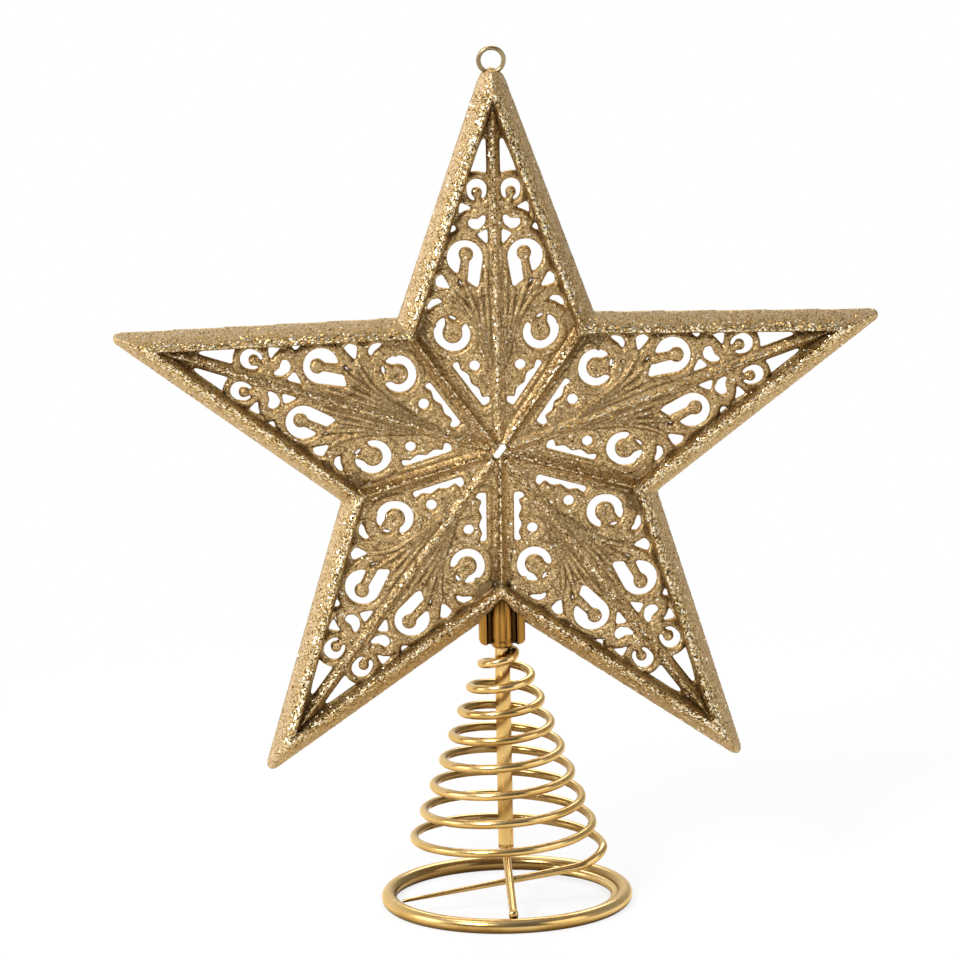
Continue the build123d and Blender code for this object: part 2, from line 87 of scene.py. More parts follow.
def rimInset(across, along):
    # how far inside the star's outer edge a point lies
    reach, angle = foldedArm(across, along)
    return edgeDistance - reach * (np.sin(angle) * edgeNormal[0] + np.cos(angle) * edgeNormal[1])


def spokePlace(across, along):
    # distance along the nearest spoke, and beside its middle line
    reach, angle = foldedArm(across, along)
    beside = reach * np.sin(halfAngle - angle)
    return np.sqrt(np.maximum(across**2 + along**2 - beside**2, 0)), beside


def facetHeight(across, along):
    # the panels' middle surface
    return domeSlope * (rimInset(across, along) - star["rimWidth"])


def turned(flat, turn):
    # points across and along an arm, turned to the left about the star's centre
    across = flat[:, 0] * math.cos(turn) - flat[:, 1] * math.sin(turn)
    up = flat[:, 0] * math.sin(turn) + flat[:, 1] * math.cos(turn) + star["height"]
    return across, up


def blend(value, low, high):
    share = np.clip((value - low) / (high - low), 0, 1)
    return share * share * (3 - 2 * share)


# Node helpers
noiseRange = (0.3, 0.7)  # where most values of a noise texture lie


def addNode(tree, kind, settings=None, inputs=None):
    made = tree.nodes.new(kind)
    for key, value in (settings or {}).items():
        setattr(made, key, value)
    for key, value in (inputs or {}).items():
        if isinstance(value, bpy.types.NodeSocket):
            tree.links.new(value, made.inputs[key])
        else:
            made.inputs[key].default_value = value
    return made


def newMaterial(name):
    material = bpy.data.materials.new(name)
    material.use_nodes = True
    material.node_tree.nodes.clear()
    return material, material.node_tree


def opaque(colour):
    return (*colour, 1.0)


def mathNode(tree, operation, first, second):
    return addNode(tree, "ShaderNodeMath", {"operation": operation}, {0: first, 1: second}).outputs[0]


def vectorNode(tree, operation, inputs):
    return addNode(tree, "ShaderNodeVectorMath", {"operation": operation}, inputs).outputs[0]


def placeNode(tree):
    return addNode(tree, "ShaderNodeTexCoord").outputs["Object"]


def markNode(tree, name):
    # a value that the mesh carries at its points
    return addNode(tree, "ShaderNodeAttribute", {"attribute_name": name}).outputs["Fac"]


def channelNode(tree, colour, index):
    return addNode(tree, "ShaderNodeSeparateColor", inputs={"Color": colour}).outputs[index]


def noiseNode(tree, place, scale, detail):
    inputs = {"Vector": place, "Scale": scale, "Detail": detail}
    return addNode(tree, "ShaderNodeTexNoise", inputs=inputs).outputs["Fac"]


def bumpNode(tree, height, strength, distance):
    inputs = {"Strength": strength, "Distance": distance * mm, "Height": height}
    return addNode(tree, "ShaderNodeBump", inputs=inputs).outputs[0]


def rampNode(tree, factor, stops):
    ramp = addNode(tree, "ShaderNodeValToRGB", inputs={"Fac": factor})
    marks = ramp.color_ramp.elements
    while len(marks) < len(stops):
        marks.new(0.5)
    for mark, (place, colour) in zip(marks, stops):
        mark.position = place
        mark.color = opaque(colour)
    return ramp.outputs["Color"]


def rangeNode(tree, value, low, high, toLow=0.0, toHigh=1.0):
    made = addNode(
        tree,
        "ShaderNodeMapRange",
        {"interpolation_type": "SMOOTHSTEP"},
        {"Value": value, "From Min": low, "From Max": high, "To Min": toLow, "To Max": toHigh},
    )
    return made.outputs["Result"]


def mixValue(tree, factor, first, second):
    inputs = {0: factor, 2: first, 3: second}
    return addNode(tree, "ShaderNodeMix", {"data_type": "FLOAT"}, inputs).outputs[0]


def mixColour(tree, factor, first, second):
    inputs = {0: factor, 6: first, 7: second}
    return addNode(tree, "ShaderNodeMix", {"data_type": "RGBA"}, inputs).outputs[2]


def markedColour(tree, colour, mark, depth, shade):
    # painted shade: towards the shade colour where the mesh carries this mark
    share = mathNode(tree, "MULTIPLY", markNode(tree, mark), depth)
    return mixColour(tree, share, colour, opaque(shade))


def shadedColour(tree, colour, look):
    # painted shade: darker where another surface lies close
    nearby = addNode(
        tree, "ShaderNodeAmbientOcclusion", {"samples": 8}, {"Distance": look["shadeReach"] * mm}
    ).outputs["AO"]
    openness = rangeNode(tree, nearby, *look["shadeLevels"])
    return mixColour(tree, openness, opaque(look["shade"]), colour)


def finishMaterial(tree, shader):
    output = addNode(tree, "ShaderNodeOutputMaterial")
    tree.links.new(shader.outputs[0], output.inputs["Surface"])


def metalSurface(tree, colour, roughness, facing, edgeTint):
    shader = addNode(
        tree,
        "ShaderNodeBsdfPrincipled",
        inputs={
            "Base Color": colour,
            "Metallic": 1.0,
            "Roughness": roughness,
            "Specular Tint": opaque(edgeTint),
            "Normal": facing,
        },
    )
    finishMaterial(tree, shader)


# Glitter: fine flakes, each with its own tilt and shade, over gold paint
glitter = {
    "grain": (0.3, 0.45),  # size of the quiet flakes and of the sparks
    "flakes": [
        (0.0, (0.13, 0.072, 0.022)),
        (0.3, (0.38, 0.245, 0.1)),
        (0.75, (0.59, 0.415, 0.195)),
        (1.0, (0.84, 0.65, 0.38)),
    ],
    "sparks": [
        (0.0, (0.05, 0.026, 0.007)),
        (0.35, (0.3, 0.18, 0.06)),
        (0.65, (0.82, 0.62, 0.31)),
        (1.0, (1.0, 0.96, 0.82)),
    ],
    "sparkShare": (0.04, 0.9),  # of the flakes, on the quiet coat and on the crests
    "lean": (0.42, 1.0),  # of the quiet flakes and of the sparks
    "roughness": (0.52, 0.3),
    "paint": (0.55, 0.415, 0.255),
    "paintLean": 0.3,
    "patches": (420.0, 3.0),  # scale and detail of the noise
    "bare": (0.2, 3.4),  # the coat thins out this near to the outer edge
    "ragged": 3.0,  # how uneven that limit is
    "leastCover": 0.25,  # share of the flakes that is left there
    "shade": (0.085, 0.045, 0.012),  # painted shade, put in the corners and along the grooves
    "shadeReach": 1.7,
    "shadeLevels": (0.08, 0.56),
    "grooveDepth": 0.55,  # how dark the painted shade in the grooves of the scrollwork and the frame is
    "edgeTint": (0.92, 0.74, 0.42),
}


def flakeCells(tree, place, grain):
    # a random colour for every flake
    made = addNode(
        tree,
        "ShaderNodeTexVoronoi",
        {"voronoi_dimensions": "3D", "feature": "F1"},
        {"Vector": place, "Scale": 1 / (grain * mm), "Randomness": 1.0},
    )
    return made.outputs["Color"]


def glitterGold():
    material, tree = newMaterial("glitterGold")
    place = placeNode(tree)
    small, large = (flakeCells(tree, place, grain) for grain in glitter["grain"])
    uneven = mathNode(tree, "SUBTRACT", noiseNode(tree, place, *glitter["patches"]), 0.5)
    # which flakes flash, more of them on the crests
    sparkle = mathNode(tree, "ADD", markNode(tree, "sparkle"), uneven)
    share = rangeNode(tree, sparkle, 0.0, 1.0, *glitter["sparkShare"])
    flash = mathNode(tree, "LESS_THAN", channelNode(tree, large, 1), share)
    flake = mixColour(tree, flash, small, large)
    shade = channelNode(tree, flake, 0)
    # how thick the coat lies, thinner on the outer slope
    ragged = mathNode(tree, "MULTIPLY", uneven, glitter["ragged"])
    inset = mathNode(tree, "ADD", markNode(tree, "rimInset"), ragged)
    cover = rangeNode(tree, inset, *glitter["bare"], glitter["leastCover"], 1.0)
    coat = mathNode(tree, "LESS_THAN", channelNode(tree, small, 2), cover)
    quiet = mixColour(tree, coat, opaque(glitter["paint"]), rampNode(tree, shade, glitter["flakes"]))
    colour = mixColour(tree, flash, quiet, rampNode(tree, shade, glitter["sparks"]))
    # painted shade in the corners and along the grooves that the mesh marks
    colour = shadedColour(tree, colour, glitter)
    colour = markedColour(tree, colour, "groove", glitter["grooveDepth"], glitter["shade"])
    # every flake leans its own way
    leanQuiet = rangeNode(tree, coat, 0.0, 1.0, glitter["paintLean"], glitter["lean"][0])
    leanBy = mixValue(tree, flash, leanQuiet, glitter["lean"][1])
    lean = vectorNode(tree, "SUBTRACT", {0: flake, 1: (0.5, 0.5, 0.5)})
    lean = vectorNode(tree, "SCALE", {0: lean, "Scale": leanBy})
    facing = addNode(tree, "ShaderNodeNewGeometry").outputs["Normal"]
    facing = vectorNode(tree, "NORMALIZE", {0: vectorNode(tree, "ADD", {0: facing, 1: lean})})
    roughness = rangeNode(tree, flash, 0.0, 1.0, *glitter["roughness"])
    metalSurface(tree, colour, roughness, facing, glitter["edgeTint"])
    return material


# Plated wire: satin brass with faint drawing marks, duller in random places, with painted shade underneath
# and on the inner side of the rounds, and a painted sheen at grazing edges
wire = {
    "dull": (0.36, 0.188, 0.042),
    "colour": (0.72, 0.465, 0.155),
    "pale": (0.84, 0.6, 0.28),
    "stops": (0.25, 0.5, 0.75),  # of the three colours
    "underside": 0.3,  # painted shade underneath and painted highlight on top: how far the facing moves the tone
    "paintedInnerShade": 0.62,  # and how dark the painted shade is on the inner side of the rounds
    "innerSide": (-0.1, 0.9),  # from the wire's middle inwards, in radii
    "edge": (0.92, 0.78, 0.58),  # painted sheen, where the surface is seen edge-on
    "sheenWidth": 0.25,
    "roughness": (0.18, 0.24),
    "patches": (55.0, 3.0),  # scale and detail of the noise
    "marks": (2600.0, 2.0),
    "markDepth": 0.012,
    "markReach": 0.05,
    "edgeTint": (1.0, 0.9, 0.72),
    # painted shade, on the inner side of the rounds and where surfaces lie close
    "shade": (0.17, 0.088, 0.02),
    "shadeReach": 3.0,
    "shadeLevels": (0.25, 0.92),
}
antique = {
    **wire,
    "dull": (0.2, 0.14, 0.07),
    "colour": (0.34, 0.25, 0.13),
    "pale": (0.5, 0.39, 0.22),
    # painted sheen of the darker brass
    "edge": (0.55, 0.45, 0.3),
    "roughness": (0.26, 0.36),
}


def wireGold(name, look):
    material, tree = newMaterial(name)
    place = placeNode(tree)
    patch = noiseNode(tree, place, *look["patches"])
    fine = noiseNode(tree, place, *look["marks"])
    facing = addNode(tree, "ShaderNodeNewGeometry").outputs["Normal"]
    # painted light: paler where the wire faces up, duller where it faces down
    up = addNode(tree, "ShaderNodeSeparateXYZ", inputs={"Vector": facing}).outputs["Z"]
    patch = mathNode(tree, "ADD", patch, mathNode(tree, "MULTIPLY", up, look["underside"]))
    colour = rampNode(tree, patch, list(zip(look["stops"], (look["dull"], look["colour"], look["pale"]))))
    # painted sheen towards the grazing edges
    grazing = addNode(tree, "ShaderNodeLayerWeight", inputs={"Blend": 0.5}).outputs["Facing"]
    grazing = rangeNode(tree, grazing, 1 - look["sheenWidth"], 1.0)
    colour = mixColour(tree, grazing, colour, opaque(look["edge"]))
    # painted shade on the inner side of the rounds, and where other surfaces lie close
    colour = markedColour(tree, colour, "paintedInnerShade", look["paintedInnerShade"], look["shade"])
    colour = shadedColour(tree, colour, look)
    bump = bumpNode(tree, fine, look["markDepth"], look["markReach"])
    metalSurface(tree, colour, rangeNode(tree, fine, *noiseRange, *look["roughness"]), bump, look["edgeTint"])
    return material


# Socket: dark lacquer over brushed metal, with upright brush lines
socket = {
    "dark": (0.13, 0.056, 0.01),
    "bright": (0.62, 0.315, 0.062),
    "roughness": (0.24, 0.42),
    "lines": (1300.0, 1300.0, 30.0),
    "lineDetail": 4.0,
    "lineDepth": 0.3,
    "lineReach": 0.1,
    "edgeTint": (1.0, 1.0, 1.0),
    # painted shade, in the clip's channel and where surfaces lie close
    "shade": (0.045, 0.019, 0.005),
    "grooveDepth": 0.85,
    "shadeReach": 2.4,
    "shadeLevels": (0.3, 0.95),
}


def socketGold():
    material, tree = newMaterial("socketGold")
    stretched = vectorNode(tree, "MULTIPLY", {0: placeNode(tree), 1: socket["lines"]})
    brush = noiseNode(tree, stretched, 1.0, socket["lineDetail"])
    colour = rampNode(tree, brush, list(zip(noiseRange, (socket["dark"], socket["bright"]))))
    # painted shade in the clip's channel and where other surfaces lie close
    colour = markedColour(tree, colour, "groove", socket["grooveDepth"], socket["shade"])
    colour = shadedColour(tree, colour, socket)
    bump = bumpNode(tree, brush, socket["lineDepth"], socket["lineReach"])
    roughness = rangeNode(tree, brush, *noiseRange, *socket["roughness"])
    metalSurface(tree, colour, roughness, bump, socket["edgeTint"])
    return material


# Mesh helpers
skin = {"weld": 1e-6, "ease": 0.5}


def meshObject(name, points, faces):
    mesh = bpy.data.meshes.new(name)
    mesh.from_pydata(np.asarray(points) * mm, [], faces)
    mesh.update()
    mesh.polygons.foreach_set("use_smooth", np.ones(len(mesh.polygons), dtype=bool))
    made = bpy.data.objects.new(name, mesh)
    bpy.context.scene.collection.objects.link(made)
    return made


def rowFaces(order, sides, capped=True):
    # faces between rings of points, taken in this order, and a cap on either end
    faces = []
    for low, high in zip(order[:-1], order[1:]):
        for k in range(sides):
            ahead = (k + 1) % sides
            faces.append((low * sides + k, low * sides + ahead, high * sides + ahead, high * sides + k))
    if capped:
        faces.append(tuple(order[0] * sides + k for k in reversed(range(sides))))
        faces.append(tuple(order[-1] * sides + k for k in range(sides)))
    return faces


def dress(piece, body, node, material):
    piece.data.materials.clear()
    piece.data.materials.append(material)
    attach(piece, body)
    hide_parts(node)


def addPiece(name, mesh, body, node, material):
    points, faces = mesh
    piece = meshObject(name, points, faces)
    dress(piece, body, node, material)
    print(name, len(points), "points")
    return piece


def pointValues(piece, name, values):
    layer = piece.data.attributes.new(name, "FLOAT", "POINT")
    layer.data.foreach_set("value", np.asarray(values, dtype=np.float32))


def meshPoints(piece):
    flat = np.zeros(3 * len(piece.data.vertices))
    piece.data.vertices.foreach_get("co", flat)
    return flat.reshape(-1, 3) / mm


def movePoints(piece, points):
    piece.data.vertices.foreach_set("co", (points * mm).ravel())


def softenedCopy(node, name, voxel, rounds, cutter=None):
    # an even skin over a CAD piece with its edges eased, as under a coat of glitter
    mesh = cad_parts[node].data.copy()
    shell = bmesh.new()
    shell.from_mesh(mesh)
    bmesh.ops.remove_doubles(shell, verts=shell.verts, dist=skin["weld"])
    shell.to_mesh(mesh)
    shell.free()
    made = bpy.data.objects.new(name, mesh)
    bpy.context.scene.collection.objects.link(made)
    if cutter:
        cut = made.modifiers.new("cut", "BOOLEAN")
        cut.operation = "DIFFERENCE"
        cut.object = cutter
    remesh = made.modifiers.new("skin", "REMESH")
    remesh.mode = "VOXEL"
    remesh.voxel_size = voxel * mm
    remesh.use_smooth_shade = True
    ease = made.modifiers.new("ease", "SMOOTH")
    ease.factor = skin["ease"]
    ease.iterations = rounds
    made.data = bpy.data.meshes.new_from_object(made.evaluated_get(bpy.context.evaluated_depsgraph_get()))
    made.modifiers.clear()
    made.data.name = name
    return made


# Rim, spokes and hub: the two halves of the star's frame
rim = {
    "voxel": 0.3,
    "rounds": 6,
    "slope": (2.0, 3.9),  # the sparkle grows over this stretch from the outer edge
    "innerSlope": (4.8, 5.4),  # and fades over this one
    "innerSparkle": 0.25,
    "meet": 0.5,  # rim and spokes run into one another over twice this
    "ridge": (0.25, 0.8),  # from a spoke's ridge
    "flankSparkle": 0.12,
    "ridgeHeight": (7.0, 4.7),  # at the centre and at the rim
    "ridgeEnd": 37.6,
    "flankHollow": 1.5,  # the spokes' flanks are straight at 1 and more hollow above
    "flankFoot": -0.1,  # the flanks end this far above the panels
    "innerShade": (4.9, 5.6),  # painted shade on the inner slope grows over this stretch
    "ridgeLine": (0.55, 0.35),  # a painted shade line on one flank: distance from the ridge and half width
    "cornerShade": (22.0, 34.0),  # painted shade on the same flank grows over this stretch towards the rim
    "slots": {"frame_front": (4.4, 1.8), "frame_back": (6.0, 3.8)},  # through the hub, length and width
    "slotTurn": 52.0,
    "slotReach": 20.0,
    "slotPoints": 13,  # of each round end
    "crest": 4.8,  # inset of the crest's inner edge
    "crestHeight": 5.0,
    "seat": 0.9,  # height of the window's edge
    "filletStart": 34.8,  # the corner fillets begin this far along the spokes
    "filletClear": 2.1,  # and this far beside them
    "filletProud": 0.12,
    "clipCover": 1.75,  # height of the fillet over the clip
    "clipReach": 8.0,  # to both sides of the stem
}


def frameSparkle(across, along, inset):
    onRim = blend(inset, *rim["slope"]) * (1 - (1 - rim["innerSparkle"]) * blend(inset, *rim["innerSlope"]))
    onRidge = 1 - blend(spokePlace(across, along)[1], *rim["ridge"])
    onSpoke = rim["flankSparkle"] + (1 - rim["flankSparkle"]) * onRidge
    within = blend(inset, star["rimWidth"] - rim["meet"], star["rimWidth"] + rim["meet"])
    return onRim * (1 - within) + onSpoke * within


def letDownFillets(points, across, along, inset, side):
    # the fillets in the inner corners lie level with the panels and run up the rim's inner slope
    onSpoke, beside = spokePlace(across, along)
    slope = (inset - rim["crest"]) / (star["rimWidth"] - rim["crest"])
    rimHeight = rim["crestHeight"] + (rim["seat"] - rim["crestHeight"]) * slope
    level = side * facetHeight(across, along) + rim["seat"] + rim["filletProud"]
    overClip = (np.abs(across) < rim["clipReach"]) & (along < 0)
    level = np.where(overClip, np.maximum(level, rim["clipCover"]), level)
    level = np.maximum(level, rimHeight)
    inZone = (inset > rim["crest"]) & (onSpoke > rim["filletStart"]) & (beside > rim["filletClear"])
    height = -side * points[:, 1]
    points[:, 1] = np.where(inZone & (height > level), -side * level, points[:, 1])


def sharpenSpokes(points, across, along, inset):
    # the spokes and the hub as sharp ridges with hollow flanks that run out on the panels
    onSpoke, beside = spokePlace(across, along)
    start, end = rim["ridgeHeight"]
    ridge = start + (end - start) * np.minimum(onSpoke / rim["ridgeEnd"], 1)
    panelTop = facetHeight(across, along) + rim["seat"]
    flankFoot = panelTop + rim["flankFoot"]
    share = np.clip(1 - beside / star["spokeHalfWidth"], 0, 1) ** rim["flankHollow"]
    height = -points[:, 1]
    within = (inset > star["rimWidth"]) & (height > panelTop)
    onRib = (beside < star["spokeHalfWidth"] + rim["voxel"]) | (onSpoke < rim["filletStart"])
    lowered = np.minimum(height, flankFoot + (ridge - flankFoot) * share)
    points[:, 1] = np.where(within & onRib, -lowered, points[:, 1])


def framePaintedShade(across, along, inset):
    # painted shade on the rim's inner slope, and in a line below every spoke's ridge on one flank
    around, reach = np.arctan2(across, along), np.hypot(across, along)
    spokeAngle = (np.floor(around / (2 * halfAngle)) + 0.5) * 2 * halfAngle
    beside = reach * np.sin(around - spokeAngle)
    distance, halfWidth = rim["ridgeLine"]
    line = 1 - blend(np.abs(beside - distance), 0, halfWidth)
    flank = blend(reach, *rim["cornerShade"]) * blend(beside, distance - halfWidth, distance)
    within = inset > star["rimWidth"] + rim["voxel"]
    return np.where(within, np.maximum(line, flank), blend(inset, *rim["innerShade"]))


def slotCutter(size):
    length, width = size
    swings = np.radians(np.linspace(-90, 90, rim["slotPoints"]))
    end = np.stack([(length - width) / 2 + width / 2 * np.cos(swings), width / 2 * np.sin(swings)], axis=1)
    outline = np.concatenate([end, -end])
    across, up = turned(outline, math.radians(rim["slotTurn"]))
    depth = np.full(len(outline), rim["slotReach"])
    points = np.concatenate([np.stack([across, way * depth, up], axis=1) for way in (-1, 1)])
    count = len(outline)
    faces = [(k, k + count, (k + 1) % count + count, (k + 1) % count) for k in range(count)]
    faces += [tuple(range(count)), tuple(reversed(range(count, 2 * count)))]
    return meshObject("slotCutter", points, faces)


def starFrames(material):
    for node, name, side in (("frame_front", "rimFront", 1), ("frame_back", "rimBack", -1)):
        cutter = slotCutter(rim["slots"][node])
        piece = softenedCopy(node, name, rim["voxel"], rim["rounds"], cutter)
        bpy.data.objects.remove(cutter)
        points = meshPoints(piece)
        across, along = points[:, 0], points[:, 2] - star["height"]
        inset = rimInset(across, along)
        letDownFillets(points, across, along, inset, side)
        if side > 0:
            sharpenSpokes(points, across, along, inset)
        movePoints(piece, points)
        pointValues(piece, "rimInset", inset)
        pointValues(piece, "sparkle", frameSparkle(across, along, inset))
        # painted shade on the rim's inner slope and the spoke flanks
        pointValues(piece, "groove", framePaintedShade(across, along, inset))
        dress(piece, "star", node, material)
        print("rim half", name, len(points), "points")


# Pierced panels: scrollwork of half an arm, across and along the arm
panel = {
    "step": 0.34,  # grid of the carved sheet
    "margin": 1.0,  # of the grid round the sheet
    "leastCut": 0.12,  # the border keeps this share of a grid step from the grid's points
    "thickness": 1.8,
    "lap": 1.2,  # under the rim
    "gap": 0.1,
    "hubSlot": 5.6,
    "notchStart": 36.2,  # let into the corner blocks
    "notchWidth": 6.3,
    "edgeRound": 1.0,
    "edgeDrop": 0.7,
    "backDrop": 0.6,  # share of the drop on the back
    "ribWidth": 1.7,
    "ribRise": 1.35,
    "ribHollow": 1.2,
    "easeRounds": 2,  # how often the border is evened out, which rounds its corners
    "tipSlit": [(1.8, 81.8), (2.6, 81.8), (6.8, 72.0), (1.8, 72.0)],
    "tipSlitFloor": (4.5, 67.9, 5.2),
    "gaps": [
        [(5.2, 63.4), (8.7, 65.1), (9.5, 60.7), (8.6, 62.1), (7.2, 62.9)],
        [(10.7, 59.6), (11.8, 56.5), (9.6, 57.9)],
        [(1.8, 58.2), (4.7, 56.7), (1.8, 53.6)],
        [(11.4, 42.1), (13.8, 46.3), (15.4, 45.2), (15.4, 42.9)],
        [
            *((2.1, 61.3), (2.7, 61.9), (4.3, 60.7), (6.7, 60.6)),
            *((6.8, 59.0), (5.6, 57.9), (4.0, 57.9), (2.5, 59.3)),
        ],
        [(13.3, 38.7), (14.8, 39.9), (16.6, 39.6), (17.7, 38.0), (17.9, 36.5), (16.6, 37.3), (15.2, 38.3)],
        [(9.5, 33.8), (10.9, 35.1), (12.6, 35.7), (12.3, 34.8), (11.0, 34.1)],
        [(8.1, 42.7), (9.2, 45.0), (9.8, 44.6), (8.6, 42.5)],
    ],
    "scrolls": [  # opening, ball and neck, of discs by place and radius
        ([(4.4, 67.7, 2.5), (4.4, 68.6, 2.6)], (4.4, 67.6, 1.4), [(4.4, 67.6, 0.7), (3.7, 64.4, 0.9)]),
        ([(11.2, 30.3, 4.4), (11.7, 30.8, 4.5)], (11.4, 30.7, 2.6), [(11.3, 32.1, 2.0), (10.2, 35.9, 3.0)]),
        ([(7.8, 50.5, 4.6), (4.8, 43.0, 0.4)], (7.5, 51.4, 1.9), [(7.6, 51.0, 1.0), (8.4, 45.4, 1.3)]),
    ],
    "drop": (5.9, 22.2, 1.4),
    "strip": {
        "start": 11.5,
        "end": 25.0,
        "near": 1.6,
        "far": 3.6,
        "cusp": 2.7,
        "foot": 4.6,
        "footRise": 1.3,
        "notches": 3,
    },
    "veins": [
        [(1.5, 22.0), (2.1, 33.0), (2.6, 47.0)],
        [(1.9, 23.0), (3.3, 33.0), (4.5, 43.0)],
        [(2.3, 24.0), (4.9, 35.0), (8.2, 44.0)],
        [(2.8, 25.0), (6.6, 36.0), (12.2, 42.3)],
    ],
    "veinPoints": 17,
    "veinWidth": 0.7,
    "veinRise": 0.95,
    "grooveWidth": 0.4,
    "tipShade": (77.0, 82.0),  # painted shade on the sheet grows over this stretch towards the tip
    "borderWidth": 1.1,  # half the width of the rolled border of the openings
    "borderRise": 0.45,
    "clearOfRim": 0.9,  # the relief dies out over this distance beside the rim and the spokes
    "sparkle": 0.12,
    "ribSparkle": 0.6,
}


def discField(across, along, spot):
    return np.hypot(across - spot[0], along - spot[1]) - spot[2]


def taperField(across, along, start, end):
    # two discs and the tangents between them
    run = math.hypot(end[0] - start[0], end[1] - start[1])
    way = ((end[0] - start[0]) / run, (end[1] - start[1]) / run)
    ahead = (across - start[0]) * way[0] + (along - start[1]) * way[1]
    side = np.abs((across - start[0]) * way[1] - (along - start[1]) * way[0])
    slope = (start[2] - end[2]) / run
    level = math.sqrt(1 - slope**2)
    place = level * ahead - slope * side
    field = level * side + slope * ahead - start[2]
    field = np.where(place < 0, np.hypot(side, ahead) - start[2], field)
    return np.where(place > level * run, np.hypot(side, ahead - run) - end[2], field)


def lineField(across, along, start, end):
    # distance to a straight line between two points
    run = end - start
    fromX, fromY = across - start[0], along - start[1]
    share = np.clip((fromX * run[0] + fromY * run[1]) / (run @ run), 0, 1)
    return np.hypot(fromX - run[0] * share, fromY - run[1] * share)


def polygonField(across, along, corners):
    # distance to a polygon, below zero inside
    corners = np.asarray(corners, dtype=float)
    least = np.full(np.shape(across), np.inf)
    inside = np.zeros(np.shape(across), dtype=bool)
    for start, end in zip(corners, np.roll(corners, 1, axis=0)):
        least = np.minimum(least, lineField(across, along, start, end))
        run = end - start
        crosses = (along >= start[1]) != (along >= end[1])
        left = (run[0] * (along - start[1]) > run[1] * (across - start[0])) == (run[1] > 0)
        inside ^= crosses & left
    return np.where(inside, -least, least)


def scrollField(across, along, opening, ball, neck):
    # a round opening with a ball in it, held by a neck
    held = np.minimum(discField(across, along, ball), taperField(across, along, *neck))
    return np.maximum(taperField(across, along, *opening), -held)


def stripCorners():
    strip = panel["strip"]
    low, high = strip["start"], strip["end"]
    near, far, cusp, wide = (star["spokeHalfWidth"] + strip[key] for key in ("near", "far", "cusp", "foot"))
    step = (high - low) / strip["notches"]
    corners = [alongSpoke(low, far), alongSpoke(low, near), alongSpoke(high, near)]
    for count in range(strip["notches"]):
        place = high - count * step
        corners += [alongSpoke(place, far), alongSpoke(place - step / 2, cusp)]
    corners.append(alongSpoke(low + strip["footRise"], wide))
    return corners


def openingsField(across, along):
    floor = discField(across, along, panel["tipSlitFloor"])
    fields = [np.maximum(polygonField(across, along, panel["tipSlit"]), -floor)]
    fields += [polygonField(across, along, corners) for corners in panel["gaps"]]
    fields += [scrollField(across, along, *scroll) for scroll in panel["scrolls"]]
    fields.append(discField(across, along, panel["drop"]))
    fields.append(polygonField(across, along, stripCorners()))
    return np.minimum.reduce(fields)


def panelOutline():
    inset = star["rimWidth"] - panel["lap"]
    spread = star["tipReach"] * math.sin(halfAngle) / (
        star["tipReach"] * math.cos(halfAngle) - star["cornerReach"]
    )
    corner = insetReach(star["cornerReach"], inset)
    slotEnd = panel["hubSlot"] / 2 + panel["gap"]
    right = [
        alongSpoke(slotEnd, panel["gap"]),
        alongSpoke(panel["notchStart"], panel["gap"]),
        alongSpoke(panel["notchStart"], panel["notchWidth"]),
        alongSpoke(corner + panel["notchWidth"] / spread, panel["notchWidth"]),
    ]
    tip = (0.0, insetReach(star["tipReach"], inset))
    return [(0.0, slotEnd), *right, tip, *[(-across, along) for across, along in reversed(right)]]


def sheetField(across, along):
    outline = polygonField(across, along, panelOutline())
    holes = openingsField(np.abs(across), along)
    for axis in (0, 1) * panel["easeRounds"]:
        holes = (np.roll(holes, 1, axis) + 2 * holes + np.roll(holes, -1, axis)) / 4
    return np.maximum(outline, -holes)


def bowPoints(start, pull, end, count):
    # a curve from start to end that bends towards pull
    shares = np.linspace(0, 1, count)[:, None]
    return (1 - shares) ** 2 * start + 2 * shares * (1 - shares) * pull + shares**2 * end


def veinField(across, along, path):
    # distance to a smooth curve through the middle of three points
    start, middle, end = np.asarray(path, dtype=float)
    curve = bowPoints(start, 2 * middle - (start + end) / 2, end, panel["veinPoints"])
    return np.minimum.reduce([lineField(across, along, *ends) for ends in zip(curve[:-1], curve[1:])])


def rounded(distance, width):
    return np.sqrt(np.clip(1 - (distance / width) ** 2, 0, 1))


def panelRelief(side, along, holes):
    relief = panel["borderRise"] * rounded(holes - panel["borderWidth"], panel["borderWidth"])
    for path in panel["veins"]:
        vein = rounded(veinField(side, along, path), panel["veinWidth"])
        relief = np.maximum(relief, panel["veinRise"] * vein)
    clear = np.minimum(
        rimInset(side, along) - star["rimWidth"], spokePlace(side, along)[1] - star["spokeHalfWidth"]
    )
    relief = relief * blend(clear, 0, panel["clearOfRim"])
    ridge = np.clip(1 - side / panel["ribWidth"], 0, 1) ** panel["ribHollow"]
    return np.maximum(relief, panel["ribRise"] * ridge)


def panelPaintedShade(side, along):
    # painted shade beside the midrib, the veins and the rolled borders, and towards the tip
    lines = [side - panel["ribWidth"], openingsField(side, along) - 2 * panel["borderWidth"]]
    lines += [veinField(side, along, path) - panel["veinWidth"] for path in panel["veins"]]
    nearest = np.minimum.reduce([np.abs(line) for line in lines])
    hollow = blend(along, *panel["tipShade"]) * blend(side, panel["ribWidth"] / 2, panel["ribWidth"])
    return np.maximum(1 - blend(nearest, 0, panel["grooveWidth"]), hollow)


def panelHeights(across, along):
    # front and back of the sheet, towards the viewer from the star's middle plane
    side = np.abs(across)
    facet = star["domeRise"] - domeSlope * (side * edgeNormal[0] + along * edgeNormal[1])
    holes = openingsField(side, along)
    edge = np.clip(holes / panel["edgeRound"], 0, 1)
    drop = panel["edgeDrop"] * (1 - np.sqrt(1 - (1 - edge) ** 2))
    front = facet + panel["thickness"] / 2 + panelRelief(side, along, holes) - drop
    back = facet - panel["thickness"] / 2 + panel["backDrop"] * drop
    return front, back


